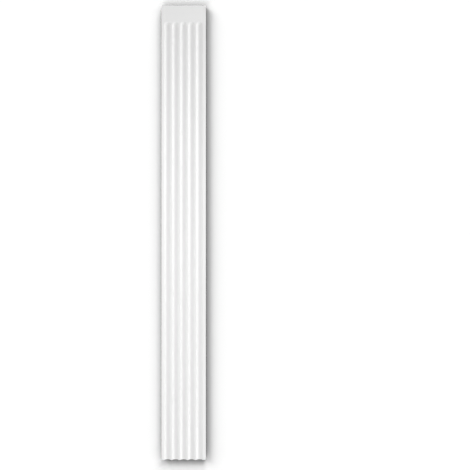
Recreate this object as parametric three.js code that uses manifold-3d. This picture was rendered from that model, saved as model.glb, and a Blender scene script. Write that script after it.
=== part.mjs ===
// Fluted pilaster shaft: one white moulded length that is bonded flat to a wall.
// Units are millimetres and +Z is up. The back lies on the plane Y = 0, the front faces -Y,
// and the origin is the middle of the back.
import * as THREE from "three";
import { mergeVertices } from "three/addons/utils/BufferGeometryUtils.js";
import Module from "manifold-3d";

// Driving dimensions of the shaft
const LENGTH = 2000;
const WIDTH = 194;
const THICKNESS = 22;
const EDGE_RADIUS = 1.5; // the soft long edges of the front

// Driving dimensions of the flutes
const FLUTE_COUNT = 5;
const FLUTE_DEPTH = 8;
const EDGE_STRIP = 9; // from each long edge to the middle of the outermost crest
const CREST_FLAT = 3; // flat left on the crest between two flutes
const HOLLOW_SHARE = 0.8; // share of a flute's half width that is hollow, the rest rolls over the crest
const PLAIN_BAND = 70; // plain face from the top end down to the flutes' round heads

// Facets
const ARC_DIVISIONS = 4; // three.js makes two segments of each division of an arc
const EDGE_DIVISIONS = 2;
const HEAD_SEGMENTS = 48; // round a full turn of a flute's head

// Sizes worked out from the driving dimensions
const PITCH = (WIDTH - 2 * EDGE_STRIP) / FLUTE_COUNT;
const FLUTE_HALF_WIDTH = (PITCH - CREST_FLAT) / 2;
const FRONT_Y = -THICKNESS;
const HEAD_Z = LENGTH / 2 - PLAIN_BAND - FLUTE_HALF_WIDTH;
const CHANNEL_LENGTH = HEAD_Z + LENGTH / 2;

const CUTTER_OVERRUN = 5; // how far a cutter stands out past the faces that it opens
const MERGE_TOLERANCE = 1e-4;

const wasm = await Module();
wasm.setup();

// A closed geometry as a solid: shared vertices are merged, and flat triangles at a lathe's poles left out.
function toSolid(geometry) {
  const bare = geometry.clone();
  bare.deleteAttribute("normal");
  bare.deleteAttribute("uv");
  const merged = mergeVertices(bare, MERGE_TOLERANCE);
  const index = merged.index.array;
  const triVerts = [];
  for (let i = 0; i < index.length; i += 3) {
    const [a, b, c] = index.slice(i, i + 3);
    if (a !== b && b !== c && c !== a) triVerts.push(a, b, c);
  }
  return new wasm.Manifold(
    new wasm.Mesh({
      numProp: 3,
      vertProperties: merged.attributes.position.array,
      triVerts: new Uint32Array(triVerts),
    }),
  );
}

// A solid as a geometry whose facets are shaded flat.
function toGeometry(solid) {
  const { vertProperties, triVerts } = solid.getMesh();
  const indexed = new THREE.BufferGeometry();
  indexed.setAttribute("position", new THREE.BufferAttribute(vertProperties, 3));
  indexed.setIndex(new THREE.BufferAttribute(triVerts, 1));
  const facets = indexed.toNonIndexed();
  facets.computeVertexNormals();
  return facets;
}

// The uncut block, with its two front edges rounded over the full length.
function makeBlock() {
  const right = WIDTH / 2;
  const section = new THREE.Shape();
  section.moveTo(-right, 0);
  section.lineTo(-right, FRONT_Y + EDGE_RADIUS);
  section.absarc(-right + EDGE_RADIUS, FRONT_Y + EDGE_RADIUS, EDGE_RADIUS, Math.PI, 1.5 * Math.PI);
  section.absarc(right - EDGE_RADIUS, FRONT_Y + EDGE_RADIUS, EDGE_RADIUS, 1.5 * Math.PI, 2 * Math.PI);
  section.lineTo(right, 0);
  section.closePath();
  return new THREE.ExtrudeGeometry(section, {
    depth: LENGTH,
    bevelEnabled: false,
    curveSegments: EDGE_DIVISIONS,
  }).translate(0, 0, -LENGTH / 2);
}

// Half of a flute's section, from the deepest point out to the crest: a hollow arc that runs
// smoothly into a rounded arc. Both arcs end at the same slope, the steepest of the wall.
function fluteHalfSection() {
  const slope = 2 * Math.atan(FLUTE_DEPTH / FLUTE_HALF_WIDTH);
  const hollowRadius = (HOLLOW_SHARE * FLUTE_HALF_WIDTH) / Math.sin(slope);
  const crestRadius = ((1 - HOLLOW_SHARE) * FLUTE_HALF_WIDTH) / Math.sin(slope);
  const down = -Math.PI / 2;
  const path = new THREE.Path();
  path.absarc(0, FRONT_Y + FLUTE_DEPTH - hollowRadius, hollowRadius, -down, -down - slope, true);
  path.absarc(FLUTE_HALF_WIDTH, FRONT_Y + crestRadius, crestRadius, down - slope, down);
  const points = path.getPoints(ARC_DIVISIONS);
  points[0].x = 0; // exactly on the flute's axis
  return points;
}

// The cutter of one flute: a straight channel, and a round head with the same section turned
// about an axis square to the face. Its own origin is the head's centre.
function makeFluteCutter() {
  const half = fluteHalfSection();
  const outer = FRONT_Y - CUTTER_OVERRUN;
  const corner = new THREE.Vector2(FLUTE_HALF_WIDTH, outer);
  const mirrored = (point) => new THREE.Vector2(-point.x, point.y);
  const otherHalf = half.slice(1).reverse().map(mirrored);
  const section = new THREE.Shape([mirrored(corner), ...otherHalf, ...half, corner]);
  const depth = CHANNEL_LENGTH + CUTTER_OVERRUN;
  const channel = new THREE.ExtrudeGeometry(section, { depth, bevelEnabled: false }).translate(0, 0, -depth);
  const profile = [new THREE.Vector2(0, outer), corner, ...half.slice().reverse()];
  const head = new THREE.LatheGeometry(profile, HEAD_SEGMENTS);
  return toSolid(channel).add(toSolid(head));
}

// The finished shaft: the block less one cutter for each flute, spaced a pitch apart about the middle.
function makeShaft() {
  const cutter = makeFluteCutter();
  let shaft = toSolid(makeBlock());
  for (let i = 0; i < FLUTE_COUNT; i++) {
    const x = (i - (FLUTE_COUNT - 1) / 2) * PITCH;
    shaft = shaft.subtract(cutter.translate([x, 0, HEAD_Z]));
  }
  return toGeometry(shaft);
}

const whitePrimer = new THREE.MeshStandardMaterial({ color: 0xf1f1ef, roughness: 0.55, metalness: 0 });

const shaft = new THREE.Mesh(makeShaft(), whitePrimer);
shaft.name = "pilaster_shaft";

const pilaster = new THREE.Group();
pilaster.add(shaft);

export default pilaster;
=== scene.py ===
"""Fluted pilaster shaft: the finished white moulding on a plain wall, in soft studio light.

Everything is in metres. The shaft's back lies on the plane Y = 0, its front faces -Y and +Z is up.
"""

import logging
import math
from dataclasses import dataclass, field
from enum import Enum

import bpy
from mathutils import Euler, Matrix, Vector


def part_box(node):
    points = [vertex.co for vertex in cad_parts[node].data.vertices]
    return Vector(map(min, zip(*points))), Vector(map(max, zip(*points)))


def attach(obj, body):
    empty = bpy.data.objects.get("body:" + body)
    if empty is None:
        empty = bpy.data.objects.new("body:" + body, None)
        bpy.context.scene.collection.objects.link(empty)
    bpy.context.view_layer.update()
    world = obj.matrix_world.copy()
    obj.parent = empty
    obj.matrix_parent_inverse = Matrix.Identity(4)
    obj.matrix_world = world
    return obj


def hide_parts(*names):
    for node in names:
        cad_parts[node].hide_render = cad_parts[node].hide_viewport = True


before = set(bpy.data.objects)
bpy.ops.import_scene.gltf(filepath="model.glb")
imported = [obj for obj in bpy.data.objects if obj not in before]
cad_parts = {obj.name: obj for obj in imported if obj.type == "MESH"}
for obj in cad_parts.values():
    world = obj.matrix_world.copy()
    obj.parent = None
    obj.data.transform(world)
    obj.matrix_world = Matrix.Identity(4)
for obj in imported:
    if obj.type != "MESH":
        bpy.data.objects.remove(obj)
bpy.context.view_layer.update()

SHAFT_NODE = "pilaster_shaft"

log = logging.getLogger("pilaster")


class Field:
    """A value in a node tree. Arithmetic on it adds Math nodes to that tree."""

    def __init__(self, socket: bpy.types.NodeSocket) -> None:
        """Keeps the socket that the value comes out of."""
        self.socket = socket
        self.tree = socket.id_data

    def math(self, operation: str, *others: "Field | float") -> "Field":
        """Adds one Math node.

        Args:
            operation: The node's operation, such as "ADD".
            others: The operation's further values.

        Returns:
            The node's result.
        """
        node = self.tree.nodes.new("ShaderNodeMath")
        node.operation = operation
        for socket, value in zip(node.inputs, (self, *others)):
            plug(socket, value)
        return Field(node.outputs[0])

    def __add__(self, other: "Field | float") -> "Field":
        """The sum."""
        return self.math("ADD", other)

    def __sub__(self, other: "Field | float") -> "Field":
        """The difference."""
        return self.math("SUBTRACT", other)

    def __rsub__(self, other: float) -> "Field":
        """A number, less this value."""
        return self * -1.0 + other

    def __mul__(self, other: "Field | float") -> "Field":
        """The product."""
        return self.math("MULTIPLY", other)

    def __truediv__(self, other: "Field | float") -> "Field":
        """The quotient."""
        return self.math("DIVIDE", other)

    def clamped(self, low: "Field | float", high: "Field | float") -> "Field":
        """The value, kept between low and high."""
        return self.math("MAXIMUM", low).math("MINIMUM", high)


def plug(socket: bpy.types.NodeSocket, value: object) -> None:
    """Links a field or a socket into a socket, or sets a plain value on it.

    Args:
        socket: The input to feed.
        value: A Field, a socket, or a number, colour, vector or material.
    """
    if isinstance(value, Field):
        value = value.socket
    if isinstance(value, bpy.types.NodeSocket):
        socket.id_data.links.new(value, socket)
    else:
        socket.default_value = value


def add_node(
    tree: bpy.types.NodeTree, kind: str, settings: dict[str, object] | None = None, **inputs: object
) -> bpy.types.Node:
    """Adds a node to a tree.

    Args:
        tree: The tree that takes the node.
        kind: The node's type name.
        settings: Properties of the node, such as its operation.
        inputs: Values for its input sockets, by name with underscores for spaces.

    Returns:
        The new node.
    """
    node = tree.nodes.new(kind)
    for name, value in (settings or {}).items():
        setattr(node, name, value)
    for name, value in inputs.items():
        plug(node.inputs[name.replace("_", " ")], value)
    return node


def new_object(name: str, data: bpy.types.ID) -> bpy.types.Object:
    """Makes an object of some data and links it into the scene.

    Args:
        name: The object's name.
        data: Its mesh, lamp or camera.

    Returns:
        The object.
    """
    made = bpy.data.objects.new(name, data)
    bpy.context.scene.collection.objects.link(made)
    return made


class Face(Enum):
    """The shaft's kinds of face, each with a finish of its own."""

    SKIN = "Skin"
    BACK = "Back"
    CUT_END = "Cut End"

    @property
    def finish_input(self) -> str:
        """Name of the shaft tree's input for this face's finish."""
        return f"{self.value} Finish"


@dataclass(frozen=True)
class SurfaceGroups:
    """Shader node groups that the finishes share."""

    mottle: bpy.types.NodeTree
    grain: bpy.types.NodeTree
    marks: bpy.types.NodeTree

    @classmethod
    def build(cls) -> "SurfaceGroups":
        """Builds each group once."""
        return cls(cls._mottle(), cls._grain(), cls._marks())

    @staticmethod
    def _group(name: str, inputs: dict[str, str], outputs: dict[str, str]) -> bpy.types.NodeTree:
        """Makes an empty shader group.

        Args:
            name: The group's name.
            inputs: Socket types by input name.
            outputs: Socket types by output name.

        Returns:
            The group, with its sockets but no nodes.
        """
        tree = bpy.data.node_groups.new(name, "ShaderNodeTree")
        for side, sockets in (("INPUT", inputs), ("OUTPUT", outputs)):
            for socket_name, socket_type in sockets.items():
                tree.interface.new_socket(socket_name, in_out=side, socket_type=socket_type)
        return tree

    @staticmethod
    def _toned(
        tree: bpy.types.NodeTree,
        colour: bpy.types.NodeSocket,
        pattern: Field,
        share: bpy.types.NodeSocket,
    ) -> bpy.types.NodeSocket:
        """Lightens and darkens a colour by a pattern.

        Args:
            tree: The tree of the group.
            colour: The colour to change.
            pattern: Where to lighten it, up to 1, and where to darken it, down to -1.
            share: How far the tone moves either way, as a share.

        Returns:
            The changed colour.
        """
        toned = add_node(
            tree, "ShaderNodeVectorMath", {"operation": "SCALE"}, Scale=pattern * Field(share) + 1.0
        )
        plug(toned.inputs[0], colour)
        return toned.outputs["Vector"]

    @classmethod
    def _mottle(cls) -> bpy.types.NodeTree:
        """Broad, faint changes of tone and sheen, as a sprayed coat has.

        Returns:
            The group.
        """
        colour = "NodeSocketColor"
        number = "NodeSocketFloat"
        tree = cls._group(
            "broad_mottle",
            {
                "Colour": colour,
                "Roughness": number,
                "Scale": number,
                "Tone": number,
                "Sheen": number,
            },
            {"Colour": colour, "Roughness": number},
        )
        given = tree.nodes.new("NodeGroupInput").outputs
        place = add_node(tree, "ShaderNodeTexCoord").outputs["Object"]
        patches = add_node(
            tree,
            "ShaderNodeTexNoise",
            Vector=place,
            Scale=given["Scale"],
            Detail=3.0,
            Roughness=0.55,
        )
        swing = (Field(patches.outputs["Fac"]) - 0.5) * 2.0
        result = tree.nodes.new("NodeGroupOutput").inputs
        plug(result["Colour"], cls._toned(tree, given["Colour"], swing, given["Tone"]))
        plug(result["Roughness"], swing * Field(given["Sheen"]) + Field(given["Roughness"]))
        return tree

    @classmethod
    def _grain(cls) -> bpy.types.NodeTree:
        """A fine pebbled height: soft lumps with smaller pits between them.

        Returns:
            The group.
        """
        number = "NodeSocketFloat"
        tree = cls._group("fine_grain", {"Size": number, "Pits": number}, {"Height": number})
        given = tree.nodes.new("NodeGroupInput").outputs
        place = add_node(tree, "ShaderNodeTexCoord").outputs["Object"]
        scale = Field(given["Size"]).math("POWER", -1.0)
        lumps = add_node(
            tree, "ShaderNodeTexNoise", Vector=place, Scale=scale, Detail=1.0, Roughness=0.4
        )
        cells = add_node(
            tree, "ShaderNodeTexVoronoi", {"feature": "SMOOTH_F1"}, Vector=place, Scale=scale
        )
        pits = Field(cells.outputs["Distance"]) * Field(given["Pits"])
        result = tree.nodes.new("NodeGroupOutput").inputs
        plug(result["Height"], Field(lumps.outputs["Fac"]) + pits)
        return tree

    @classmethod
    def _marks(cls) -> bpy.types.NodeTree:
        """Straight tool marks, which change quickly across and slowly along.

        Fine lines give their height, and broader streaks of the same direction their tone.

        Returns:
            The group.
        """
        colour = "NodeSocketColor"
        number = "NodeSocketFloat"
        tree = cls._group(
            "tool_marks",
            {"Colour": colour, "Per Metre": "NodeSocketVector", "Tone": number},
            {"Colour": colour, "Height": number},
        )
        given = tree.nodes.new("NodeGroupInput").outputs
        place = add_node(tree, "ShaderNodeTexCoord").outputs["Object"]
        mapping = add_node(tree, "ShaderNodeMapping", Vector=place, Scale=given["Per Metre"])
        drawn_out = mapping.outputs["Vector"]
        fine = 1.0
        broad = 0.15
        lines, streaks = (
            add_node(
                tree,
                "ShaderNodeTexNoise",
                Vector=drawn_out,
                Scale=scale,
                Detail=2.0,
                Roughness=0.6,
            )
            for scale in (fine, broad)
        )
        swing = (Field(streaks.outputs["Fac"]) - 0.5) * 2.0
        result = tree.nodes.new("NodeGroupOutput").inputs
        plug(result["Colour"], cls._toned(tree, given["Colour"], swing, given["Tone"]))
        plug(result["Height"], lines.outputs["Fac"])
        return tree


@dataclass(frozen=True)
class ToolMarks:
    """Straight marks that a planer or a saw leaves.

    Attributes:
        per_metre: How often they change along X, Y and Z.
        height: How high they stand.
        tone_swing: How far their streaks move the tone either way, as a share.
    """

    per_metre: tuple[float, float, float]
    height: float
    tone_swing: float


@dataclass(frozen=True)
class CoatFinish:
    """A pale, dull finish of the moulding, told apart by tone, sheen and grain.

    Attributes:
        name: The material's name.
        colour: Its base colour, linear.
        roughness: Its mean roughness.
        tone_swing: How far the tone moves either way, as a share.
        sheen_swing: How far the roughness moves either way.
        mottle_scale: Patches per metre.
        grain_size: Distance between grains.
        grain_height: Height of the grain.
        pits: How strongly cell pits show in the grain.
        marks: The tool marks on it, if a tool has cut it.
    """

    name: str
    colour: tuple[float, float, float, float]
    roughness: float
    tone_swing: float
    sheen_swing: float
    mottle_scale: float
    grain_size: float
    grain_height: float
    pits: float = 0.0
    marks: ToolMarks | None = None

    def material(self, groups: SurfaceGroups) -> bpy.types.Material:
        """Builds the finish as a procedural material.

        Args:
            groups: The shared shader groups.

        Returns:
            The material.
        """
        made = bpy.data.materials.new(self.name)
        made.use_nodes = True
        tree = made.node_tree
        shader = tree.nodes["Principled BSDF"]
        mottle = add_node(
            tree,
            "ShaderNodeGroup",
            {"node_tree": groups.mottle},
            Colour=self.colour,
            Roughness=self.roughness,
            Scale=self.mottle_scale,
            Tone=self.tone_swing,
            Sheen=self.sheen_swing,
        )
        grain = add_node(
            tree,
            "ShaderNodeGroup",
            {"node_tree": groups.grain},
            Size=self.grain_size,
            Pits=self.pits,
        )
        colour = mottle.outputs["Colour"]
        height = Field(grain.outputs["Height"]) * self.grain_height
        if self.marks:
            marks = add_node(
                tree,
                "ShaderNodeGroup",
                {"node_tree": groups.marks},
                Colour=colour,
                Per_Metre=self.marks.per_metre,
                Tone=self.marks.tone_swing,
            )
            colour = marks.outputs["Colour"]
            height = height + Field(marks.outputs["Height"]) * self.marks.height
        bump = add_node(tree, "ShaderNodeBump", Height=height, Distance=1.0, Strength=1.0)
        plug(shader.inputs["Base Color"], colour)
        plug(shader.inputs["Roughness"], mottle.outputs["Roughness"])
        plug(shader.inputs["Normal"], bump.outputs["Normal"])
        return made


PRIMED_SKIN = CoatFinish(
    name="primed_skin",
    colour=(0.87, 0.87, 0.868, 1.0),
    roughness=0.52,
    tone_swing=0.012,
    sheen_swing=0.05,
    mottle_scale=9.0,
    grain_size=0.0012,
    grain_height=0.00006,
)
RAW_BACK = CoatFinish(
    name="raw_foam_back",
    colour=(0.77, 0.75, 0.70, 1.0),
    roughness=0.82,
    tone_swing=0.035,
    sheen_swing=0.06,
    mottle_scale=14.0,
    grain_size=0.0016,
    grain_height=0.00020,
    pits=0.8,
    marks=ToolMarks(per_metre=(420.0, 420.0, 7.0), height=0.0005, tone_swing=0.12),
)
SAWN_END = CoatFinish(
    name="sawn_foam_end",
    colour=(0.82, 0.81, 0.78, 1.0),
    roughness=0.9,
    tone_swing=0.03,
    sheen_swing=0.04,
    mottle_scale=60.0,
    grain_size=0.0009,
    grain_height=0.00025,
    pits=1.0,
    marks=ToolMarks(per_metre=(650.0, 45.0, 650.0), height=0.0005, tone_swing=0.10),
)


@dataclass(frozen=True)
class FluteRule:
    """How the flutes are laid out and hollowed.

    Attributes:
        count: Flutes side by side.
        depth: Deepest point below the front.
        edge_strip: From a long edge to the middle of the outermost crest.
        crest_flat: Flat left on the crest between two flutes.
        hollow_share: Share of a flute's half width that is hollow; the rest rolls over the crest.
        plain_band: Plain face from the top end down to the flutes' round heads.
    """

    count: int = 5
    depth: float = 0.008
    edge_strip: float = 0.009
    crest_flat: float = 0.003
    hollow_share: float = 0.8
    plain_band: float = 0.070


@dataclass(frozen=True)
class MeshSteps:
    """How finely each stretch of the shaft is divided.

    Attributes:
        face: Steps across the front between its two rounded edges.
        edge: Steps round each long front edge.
        end: Steps round the eased edge of each end.
        run: Steps up the straight run of the flutes.
        head: Steps up the flutes' round heads.
        band: Steps up the plain band.
    """

    face: int = 360
    edge: int = 6
    end: int = 3
    run: int = 48
    head: int = 44
    band: int = 6

    def inputs(self) -> dict[str, int]:
        """The counts by the names of the shaft tree's inputs."""
        return {f"{name.title()} Steps": count for name, count in vars(self).items()}


def arc_fall(radius: Field, across: Field) -> Field:
    """How far an arc of that radius has fallen from its crown, at a distance across from it."""
    return radius - (radius * radius - across * across).math("SQRT")


@dataclass
class ShaftMoulding:
    """The whole pilaster shaft, which is one moulding.

    Attributes:
        low: Lowest corner of its box.
        high: Highest corner of its box.
        flutes: The flutes' rule.
        steps: How finely the mesh is divided.
        edge_radius: Rounding of the long front edges.
        end_radius: Easing of the front edge of each sawn end.
        sharp_angle: Edges bent more than this are shaded as hard edges.
        square_on: How nearly a face of the back or of an end faces straight out, as a cosine.
        piece: The finished object, once built.
    """

    low: Vector
    high: Vector
    flutes: FluteRule = FluteRule()
    steps: MeshSteps = MeshSteps()
    edge_radius: float = 0.0015
    end_radius: float = 0.0005
    sharp_angle: float = math.radians(40.0)
    square_on: float = 0.95
    piece: bpy.types.Object | None = field(default=None, init=False)

    def build(self, finishes: dict[Face, bpy.types.Material]) -> bpy.types.Object:
        """Makes the shaft by its node tree and turns the result into a plain mesh.

        Args:
            finishes: The material of each kind of face.

        Returns:
            The finished object.
        """
        maker = new_object("shaft_maker", bpy.data.meshes.new("shaft_maker"))
        modifier = maker.modifiers.new("fluted_shaft", "NODES")
        modifier.node_group = self._tree()
        inputs = self._inputs(finishes)
        for item in modifier.node_group.interface.items_tree:
            if item.name in inputs:
                modifier[item.identifier] = inputs[item.name]
        weighted = maker.modifiers.new("even_normals", "WEIGHTED_NORMAL")
        weighted.keep_sharp = True
        graph = bpy.context.evaluated_depsgraph_get()
        mesh = bpy.data.meshes.new_from_object(maker.evaluated_get(graph), depsgraph=graph)
        mesh.name = "fluted_shaft"
        # The maker itself has no finish, so the first slot of its result can be an empty one.
        if mesh.materials[0] is None:
            mesh.materials.pop(index=0)
        bpy.data.objects.remove(maker)
        self.piece = new_object("fluted_shaft", mesh)
        return self.piece

    def attach(self) -> None:
        """Puts the finished shaft in the place of its solid."""
        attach(self.piece, "root")
        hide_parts(SHAFT_NODE)

    def _inputs(self, finishes: dict[Face, bpy.types.Material]) -> dict[str, object]:
        """Gathers the values for the tree's inputs.

        Args:
            finishes: The material of each kind of face.

        Returns:
            The values by input name.
        """
        size = self.high - self.low
        return {
            "Width": size.x,
            "Thickness": size.y,
            "Length": size.z,
            "Edge Radius": self.edge_radius,
            "End Radius": self.end_radius,
            "Sharp Angle": self.sharp_angle,
            "Flute Count": self.flutes.count,
            "Flute Depth": self.flutes.depth,
            "Edge Strip": self.flutes.edge_strip,
            "Crest Flat": self.flutes.crest_flat,
            "Hollow Share": self.flutes.hollow_share,
            "Plain Band": self.flutes.plain_band,
            **self.steps.inputs(),
            **{face.finish_input: finish for face, finish in finishes.items()},
        }

    def _tree(self) -> bpy.types.NodeTree:
        """Builds the Geometry Nodes tree of the shaft.

        A block of quads is made first. Its columns and rows are then moved to where detail is
        needed, and its front is hollowed by the flutes' rule.

        Returns:
            The tree.
        """
        tree = bpy.data.node_groups.new("fluted_shaft", "GeometryNodeTree")
        tree.interface.new_socket("Shaft", in_out="OUTPUT", socket_type="NodeSocketGeometry")
        block_sizes = ("Width", "Thickness", "Length", "Edge Radius", "End Radius")
        flute_sizes = ("Flute Depth", "Edge Strip", "Crest Flat", "Hollow Share", "Plain Band")
        counts = ("Flute Count", *self.steps.inputs())
        kinds = {
            "NodeSocketFloat": (*block_sizes, "Sharp Angle", *flute_sizes),
            "NodeSocketInt": counts,
            "NodeSocketMaterial": [face.finish_input for face in Face],
        }
        for kind, names in kinds.items():
            for name in names:
                tree.interface.new_socket(name, in_out="INPUT", socket_type=kind)
        given = tree.nodes.new("NodeGroupInput").outputs
        value = {name: Field(given[name]) for name in (*block_sizes, *flute_sizes, *counts)}

        column_steps = value["Edge Steps"] * 2.0 + value["Face Steps"]
        row_steps = value["End Steps"] * 2.0
        for stretch in ("Run", "Head", "Band"):
            row_steps = row_steps + value[f"{stretch} Steps"]
        size = add_node(
            tree, "ShaderNodeCombineXYZ", X=value["Width"], Y=value["Thickness"], Z=value["Length"]
        ).outputs[0]
        block = add_node(
            tree,
            "GeometryNodeMeshCube",
            Size=size,
            Vertices_X=column_steps + 1.0,
            Vertices_Y=2,
            Vertices_Z=row_steps + 1.0,
        )
        position = tree.nodes.new("GeometryNodeInputPosition").outputs[0]
        place = add_node(tree, "ShaderNodeSeparateXYZ", Vector=position).outputs
        column = Field(place["X"]) / value["Width"] * column_steps
        row = (Field(place["Z"]) / value["Length"] + 0.5) * row_steps
        on_front = Field(place["Y"]).math("LESS_THAN", 0.0)

        x, edge_drop = self._columns(value, column)
        z, end_drop = self._rows(value, row)
        drop = self._flute_depth(value, x, z) + edge_drop + end_drop
        y = on_front * (drop - value["Thickness"])
        moved = add_node(
            tree,
            "GeometryNodeSetPosition",
            Geometry=block.outputs["Mesh"],
            Position=add_node(tree, "ShaderNodeCombineXYZ", X=x, Y=y, Z=z).outputs[0],
        )
        self._finish_faces(tree, given, moved.outputs[0])
        return tree

    @staticmethod
    def _pitch_and_half(value: dict[str, Field]) -> tuple[Field, Field]:
        """The distance between two flutes, and half the width of one."""
        pitch = (value["Width"] - value["Edge Strip"] * 2.0) / value["Flute Count"]
        return pitch, (pitch - value["Crest Flat"]) * 0.5

    @staticmethod
    def _columns(value: dict[str, Field], column: Field) -> tuple[Field, Field]:
        """Places the columns: even across the front, by angle round its long edges.

        Args:
            value: The tree's numbers by name.
            column: Steps from the middle, negative to the left.

        Returns:
            Each column's X, and how far the rounded edge has dropped back there.
        """
        half_face = value["Face Steps"] * 0.5
        steps_out = column.math("ABSOLUTE")
        radius = value["Edge Radius"]
        flat = (steps_out / half_face).clamped(0.0, 1.0) * (value["Width"] * 0.5 - radius)
        turn = ((steps_out - half_face) / value["Edge Steps"]).clamped(0.0, 1.0) * (math.pi / 2)
        x = (flat + turn.math("SINE") * radius) * column.math("SIGN")
        return x, radius - turn.math("COSINE") * radius

    @classmethod
    def _rows(cls, value: dict[str, Field], row: Field) -> tuple[Field, Field]:
        """Places the rows: close together in the flutes' heads and round the ends, else far apart.

        Args:
            value: The tree's numbers by name.
            row: Steps up from the lower end.

        Returns:
            Each row's Z, and how far the eased end edge has dropped back there.
        """

        def climbed(start: Field | float, steps: Field) -> Field:
            """How much of a stretch of rows lies below the row, as a share."""
            return ((row - start) / steps).clamped(0.0, 1.0)

        end_steps, run_steps, head_steps, band_steps = (
            value[f"{name} Steps"] for name in ("End", "Run", "Head", "Band")
        )
        head_start = end_steps + run_steps
        band_start = head_start + head_steps
        foot_turn = climbed(0.0, end_steps) * (math.pi / 2)
        top_turn = climbed(band_start + band_steps, end_steps) * (math.pi / 2)
        head = cls._pitch_and_half(value)[1]
        band = value["Plain Band"]
        radius = value["End Radius"]
        z = value["Length"] * -0.5 + radius - foot_turn.math("COSINE") * radius
        z = z + climbed(end_steps, run_steps) * (value["Length"] - head - band - radius)
        z = z + climbed(head_start, head_steps) * head
        z = z + climbed(band_start, band_steps) * (band - radius)
        z = z + top_turn.math("SINE") * radius
        foot_drop = radius - foot_turn.math("SINE") * radius
        return z, foot_drop + radius - top_turn.math("COSINE") * radius

    @classmethod
    def _flute_depth(cls, value: dict[str, Field], x: Field, z: Field) -> Field:
        """How deep the flutes are at a place on the front.

        A flute's section is a hollow arc that runs smoothly into a rounded arc at the crest. Above
        the centre of its head the same section is turned about that centre.

        Args:
            value: The tree's numbers by name.
            x: Place across the front.
            z: Place up the front.

        Returns:
            The depth below the front.
        """
        pitch, half = cls._pitch_and_half(value)
        last = value["Flute Count"] - 1.0
        middle = last * 0.5
        flute = (x / pitch + middle).math("ROUND").clamped(0.0, last) - middle
        across = x - flute * pitch
        head_z = value["Length"] * 0.5 - value["Plain Band"] - half
        beyond = (z - head_z).math("MAXIMUM", 0.0)
        from_axis = (across * across + beyond * beyond).math("SQRT")

        depth = value["Flute Depth"]
        both_radii = (half * half + depth * depth) / (depth * 2.0)
        hollow_radius = both_radii * value["Hollow Share"]
        crest_radius = both_radii - hollow_radius
        hollow_half = half * value["Hollow Share"]
        in_hollow = from_axis.math("MINIMUM", hollow_half)
        on_crest = (half - from_axis).clamped(0.0, half - hollow_half)
        hollow = arc_fall(hollow_radius, hollow_half) - arc_fall(hollow_radius, in_hollow)
        return hollow + arc_fall(crest_radius, on_crest)

    def _finish_faces(
        self, tree: bpy.types.NodeTree, given: bpy.types.NodeOutputs, shape: bpy.types.NodeSocket
    ) -> None:
        """Shades and paints the shape, and makes it the tree's output.

        Args:
            tree: The shaft's tree.
            given: The tree's input sockets.
            shape: The shape to finish.
        """
        bend = tree.nodes.new("GeometryNodeInputMeshEdgeAngle").outputs["Unsigned Angle"]
        hard = Field(bend).math("GREATER_THAN", Field(given["Sharp Angle"]))
        shading = "GeometryNodeSetShadeSmooth"
        shape = add_node(tree, shading, Geometry=shape, Shade_Smooth=True).outputs[0]
        shape = add_node(
            tree, shading, {"domain": "EDGE"}, Geometry=shape, Selection=hard, Shade_Smooth=False
        ).outputs[0]
        shape = add_node(tree, "GeometryNodeRealizeInstances", Geometry=shape).outputs[0]
        normal = tree.nodes.new("GeometryNodeInputNormal").outputs["True Normal"]
        facing = add_node(tree, "ShaderNodeSeparateXYZ", Vector=normal).outputs
        chosen = {
            Face.SKIN: True,
            Face.BACK: Field(facing["Y"]).math("GREATER_THAN", self.square_on),
            Face.CUT_END: Field(facing["Z"]).math("ABSOLUTE").math("GREATER_THAN", self.square_on),
        }
        for face, selection in chosen.items():
            finish = given[face.finish_input]
            shape = add_node(
                tree,
                "GeometryNodeSetMaterial",
                Geometry=shape,
                Selection=selection,
                Material=finish,
            ).outputs[0]
        plug(tree.nodes.new("NodeGroupOutput").inputs["Shaft"], shape)


@dataclass(frozen=True)
class PhotoView:
    """The photograph's view of the shaft, square on to its front.

    Attributes:
        image_side: Side of the square picture, in pixels.
        left: The shaft's left edge in the picture, in pixels.
        right: Its right edge.
        top: Its top edge.
        bottom: Its bottom edge.
        distance: From the lens to the shaft's front.
        sensor: Sensor width in millimetres.
    """

    image_side: float = 470.0
    left: float = 161.5
    right: float = 205.5
    top: float = 5.5
    bottom: float = 460.0
    distance: float = 2.4
    sensor: float = 36.0

    def place(self, low: Vector, high: Vector) -> bpy.types.Object:
        """Makes the camera that sees the shaft where the photograph has it.

        Args:
            low: Lowest corner of the shaft's box.
            high: Highest corner of the shaft's box.

        Returns:
            The camera.
        """
        per_pixel = (high.z - low.z) / (self.bottom - self.top)
        middle = self.image_side / 2
        across = (middle - (self.left + self.right) / 2) * per_pixel
        down = (middle - (self.top + self.bottom) / 2) * per_pixel
        centre = (low + high) / 2
        data = bpy.data.cameras.new("photo_view")
        data.sensor_width = self.sensor
        data.lens = self.sensor * self.distance / (per_pixel * self.image_side)
        camera = new_object("photo_view", data)
        camera.location = (centre.x + across, low.y - self.distance, centre.z - down)
        camera.rotation_euler = (math.pi / 2, 0.0, 0.0)
        bpy.context.scene.camera = camera
        return camera


LEVEL_REACH = 2.0  # from the shaft to the lamps that shine level at it
GRID_BEAM = math.radians(60.0)
WINDOW_SPREAD = math.radians(40.0)


def facing_turn(direction: Vector) -> Euler:
    """The turn that points a lamp in a direction."""
    return direction.to_track_quat("-Z", "Y").to_euler()


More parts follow.
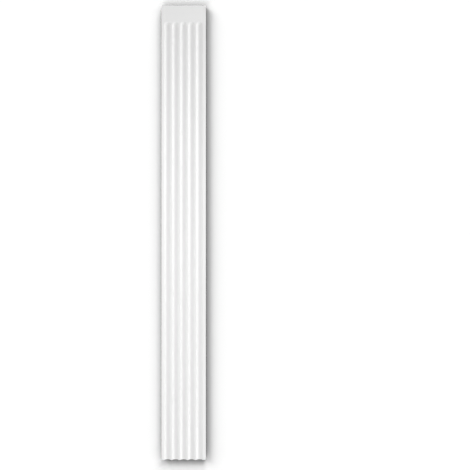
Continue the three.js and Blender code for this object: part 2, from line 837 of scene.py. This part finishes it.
@dataclass(frozen=True)
class SoftBox:
    """A soft rectangular lamp.

    Attributes:
        name: Its name.
        place: Where it stands.
        aim: What it points at.
        size: Its width and height.
        power: Its power in watts.
        beam: Angle of its beam, which a grid in front of it narrows.
    """

    name: str
    place: tuple[float, float, float]
    aim: tuple[float, float, float]
    size: tuple[float, float]
    power: float
    beam: float = math.pi

    @classmethod
    def level(
        cls, name: str, bearing: float, height: float, size: tuple[float, float], power: float
    ) -> "SoftBox":
        """A lamp behind a grid that shines level at the shaft.

        Args:
            name: Its name.
            bearing: Degrees from the front round to where it stands, to the right.
            height: How high it stands.
            size: Its width and height.
            power: Its power in watts.

        Returns:
            The lamp.
        """
        turn = math.radians(bearing)
        place = (LEVEL_REACH * math.sin(turn), -LEVEL_REACH * math.cos(turn), height)
        return cls(name, place, (0.0, 0.0, height), size, power, GRID_BEAM)

    def build(self) -> bpy.types.Object:
        """Makes the lamp.

        Returns:
            The lamp.
        """
        data = bpy.data.lights.new(self.name, "AREA")
        data.shape = "RECTANGLE"
        data.size, data.size_y = self.size
        data.energy = self.power
        data.spread = self.beam
        lamp = new_object(self.name, data)
        lamp.location = self.place
        lamp.rotation_euler = facing_turn(Vector(self.aim) - Vector(self.place))
        return lamp


@dataclass(frozen=True)
class BroadSky:
    """Broad, even light from one side, like a large window far away.

    Attributes:
        name: Its name.
        source: Direction that the light comes from.
        spread: Angle that the source fills.
        strength: Light on a surface square to it, in watts per square metre.
    """

    name: str
    source: tuple[float, float, float]
    spread: float
    strength: float

    def build(self) -> bpy.types.Object:
        """Makes the lamp.

        Returns:
            The lamp.
        """
        data = bpy.data.lights.new(self.name, "SUN")
        data.angle = self.spread
        data.energy = self.strength
        lamp = new_object(self.name, data)
        lamp.rotation_euler = facing_turn(-Vector(self.source))
        return lamp


@dataclass(frozen=True)
class Studio:
    """A plain white wall behind the shaft, a pale floor and soft light.

    Attributes:
        wall_gap: From the shaft's back to the wall, at the shaft's right edge.
        wall_turn: How far the wall's right side is turned forward.
        wall_clear: How far from the middle the wall stays whole.
        wall_end: How far from the middle the wall has faded away.
        wall_shade: Brightness of the wall's paint.
        floor_drop: From the shaft's foot down to the floor.
        floor_reach: How far the floor goes each way.
        floor_shade: Brightness of the floor's paint.
        ambient: Brightness of the light from all round.
        backdrop: Brightness of what shows beyond wall and floor.
        shaft_lamps: The lamps that model the shaft.
        wall_lamps: The lights that reach only the wall.
        floor_lamps: The light that reaches only the floor.
    """

    wall_gap: float = 0.0002
    wall_turn: float = math.radians(0.30)
    wall_clear: float = 1.32
    wall_end: float = 1.60
    wall_shade: float = 0.10
    floor_drop: float = 0.12
    floor_reach: float = 40.0
    floor_shade: float = 0.80
    ambient: float = 0.622
    backdrop: float = 0.75
    shaft_lamps: tuple[SoftBox, ...] = (
        SoftBox.level("right_high", bearing=65.0, height=0.90, size=(0.8, 0.9), power=1.68),
        SoftBox.level("right_middle", bearing=65.0, height=-0.05, size=(0.8, 1.0), power=1.83),
        SoftBox.level("right_low", bearing=65.0, height=-1.30, size=(0.8, 0.5), power=2.01),
        SoftBox.level("left_fill", bearing=-65.0, height=-0.30, size=(0.8, 2.5), power=1.76),
        SoftBox.level("front_fill", bearing=0.0, height=-0.30, size=(0.8, 1.5), power=0.72),
        SoftBox(
            "top_light", place=(0.0, 0.16, 2.4), aim=(0.0, 0.16, 1.0), size=(0.8, 0.3), power=7.0
        ),
        SoftBox(
            "back_light", place=(-2.2, 1.1, 0.6), aim=(0.0, 0.0, 0.0), size=(0.8, 1.2), power=15.0
        ),
    )
    wall_lamps: tuple[BroadSky, ...] = (
        BroadSky("left_window", source=(-2.1, -1.0, 1.6), spread=WINDOW_SPREAD, strength=32.6),
        BroadSky("upper_window", source=(0.7, -1.0, 3.2), spread=WINDOW_SPREAD, strength=39.3),
        BroadSky("low_window", source=(-0.7, -1.0, -1.6), spread=WINDOW_SPREAD, strength=15.0),
    )
    floor_lamps: tuple[BroadSky, ...] = (
        BroadSky("floor_wash", source=(0.0, 0.0, 1.0), spread=math.radians(90.0), strength=0.99),
    )

    def build(self, shaft: ShaftMoulding) -> None:
        """Builds wall, floor, lamps and surrounding light.

        Args:
            shaft: The shaft that they stand around.
        """
        floor_z = shaft.low.z - self.floor_drop
        side = self.wall_end
        foot_left, foot_right = ((x, self._wall_y(shaft, x), floor_z) for x in (-side, side))
        head_left, head_right = ((x, y, side) for x, y, _ in (foot_left, foot_right))
        wall_corners = [foot_left, foot_right, head_right, head_left]
        wall = self._panel("wall", wall_corners, self._wall_paint(shaft))
        for ray in ("shadow", "diffuse", "glossy", "transmission"):
            setattr(wall, f"visible_{ray}", False)
        span = self.floor_reach
        around = ((-1, -1), (1, -1), (1, 1), (-1, 1))
        floor_corners = [(x * span, y * span, floor_z) for x, y in around]
        floor = self._panel("floor", floor_corners, self._floor_paint())
        self._surround()
        self._light_up(self.shaft_lamps, shaft.piece, shaft.piece)
        self._light_up(self.wall_lamps, wall, shaft.piece)
        self._light_up(self.floor_lamps, floor, shaft.piece)

    def _wall_y(self, shaft: ShaftMoulding, x: float) -> float:
        """Where the wall stands at a distance across from the middle."""
        return shaft.high.y + self.wall_gap + (shaft.high.x - x) * math.tan(self.wall_turn)

    @staticmethod
    def _light_up(
        lamps: tuple[SoftBox | BroadSky, ...], lit: bpy.types.Object, shaded_by: bpy.types.Object
    ) -> None:
        """Makes lamps that shine on one object alone, past all but one that throws its shadow.

        Args:
            lamps: The lamps to make.
            lit: The object that they shine on.
            shaded_by: The object that shades it.
        """
        receivers = bpy.data.collections.new(f"lit_{lit.name}")
        receivers.objects.link(lit)
        blockers = bpy.data.collections.new(f"shades_{lit.name}")
        blockers.objects.link(shaded_by)
        for lamp in lamps:
            linking = lamp.build().light_linking
            linking.receiver_collection = receivers
            linking.blocker_collection = blockers

    @staticmethod
    def _panel(
        name: str, corners: list[tuple[float, float, float]], paint: bpy.types.Material
    ) -> bpy.types.Object:
        """Makes one flat panel of the set.

        Args:
            name: The panel's name.
            corners: Its four corners.
            paint: Its material.

        Returns:
            The panel.
        """
        mesh = bpy.data.meshes.new(name)
        mesh.from_pydata(corners, [], [(0, 1, 2, 3)])
        mesh.materials.append(paint)
        return new_object(name, mesh)

    @staticmethod
    def _shut_off(away: Field, height: float) -> Field:
        """Share of a wall's outlook that a long block of that height shuts off, at a distance."""
        return (1.0 - away / (away * away + height**2).math("SQRT")) * 0.5

    def _wall_paint(self, shaft: ShaftMoulding) -> bpy.types.Material:
        """White paint, seen from the front alone, that fades out at the wall's edges.

        Painted shade darkens it beside the shaft, by the share of its outlook that the shaft shuts
        off.

        Args:
            shaft: The shaft in front of the wall.

        Returns:
            The material.
        """
        made = bpy.data.materials.new("wall_white_painted_shade")
        made.use_nodes = True
        tree = made.node_tree
        tree.nodes.clear()
        place = add_node(tree, "ShaderNodeTexCoord").outputs["Object"]
        at = add_node(tree, "ShaderNodeSeparateXYZ", Vector=place).outputs
        x = Field(at["X"]).math("ABSOLUTE")
        z = Field(at["Z"])
        size = shaft.high - shaft.low
        across, along = (
            self._shut_off(away, size.y)
            for away in (x - size.x / 2, z.math("ABSOLUTE") - size.z / 2)
        )
        # Painted shade: the wall's colour is darkened near the shaft, in place of a rendered
        # contact shadow.
        outlook = 1.0 - across * along
        paint = add_node(tree, "ShaderNodeBsdfDiffuse", Color=outlook * self.wall_shade)
        clear = add_node(tree, "ShaderNodeBsdfTransparent")
        fade = add_node(
            tree,
            "ShaderNodeMapRange",
            {"interpolation_type": "SMOOTHSTEP"},
            Value=x.math("MAXIMUM", z),
            From_Min=self.wall_clear,
            From_Max=self.wall_end,
        ).outputs["Result"]
        behind = Field(add_node(tree, "ShaderNodeNewGeometry").outputs["Backfacing"])
        mix = add_node(tree, "ShaderNodeMixShader", Fac=behind.math("MAXIMUM", Field(fade)))
        plug(mix.inputs[1], paint.outputs[0])
        plug(mix.inputs[2], clear.outputs[0])
        add_node(tree, "ShaderNodeOutputMaterial", Surface=mix.outputs[0])
        return made

    def _floor_paint(self) -> bpy.types.Material:
        """Pale, dull paint for the floor.

        Returns:
            The material.
        """
        made = bpy.data.materials.new("floor_pale")
        made.use_nodes = True
        shader = made.node_tree.nodes["Principled BSDF"]
        shader.inputs["Base Color"].default_value = (self.floor_shade,) * 3 + (1.0,)
        shader.inputs["Roughness"].default_value = 1.0
        shader.inputs["Specular IOR Level"].default_value = 0.0
        return made

    def _surround(self) -> None:
        """Sets even light from all round, and a pale backdrop for the camera."""
        world = bpy.data.worlds.new("studio")
        world.use_nodes = True
        bpy.context.scene.world = world
        tree = world.node_tree
        tree.nodes.clear()
        light = add_node(tree, "ShaderNodeBackground", Strength=self.ambient)
        seen = add_node(tree, "ShaderNodeBackground", Strength=self.backdrop)
        for background in (light, seen):
            background.inputs["Color"].default_value = (1.0, 1.0, 1.0, 1.0)
        camera_ray = add_node(tree, "ShaderNodeLightPath").outputs["Is Camera Ray"]
        mix = add_node(tree, "ShaderNodeMixShader", Fac=camera_ray)
        plug(mix.inputs[1], light.outputs[0])
        plug(mix.inputs[2], seen.outputs[0])
        add_node(tree, "ShaderNodeOutputWorld", Surface=mix.outputs[0])
        bpy.context.scene.view_settings.view_transform = "Standard"


def main() -> None:
    """Builds the shaft, dresses it and sets it in the studio."""
    logging.basicConfig(level=logging.INFO, format="%(name)s: %(message)s")
    groups = SurfaceGroups.build()
    finishes = {
        Face.SKIN: PRIMED_SKIN.material(groups),
        Face.BACK: RAW_BACK.material(groups),
        Face.CUT_END: SAWN_END.material(groups),
    }
    shaft = ShaftMoulding(*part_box(SHAFT_NODE))
    piece = shaft.build(finishes)
    shaft.attach()
    log.info("%s: %d faces", piece.name, len(piece.data.polygons))
    Studio().build(shaft)
    camera = PhotoView().place(shaft.low, shaft.high)
    log.info("%s: lens %.1f mm", camera.name, camera.data.lens)


if __name__ == "__main__":
    main()
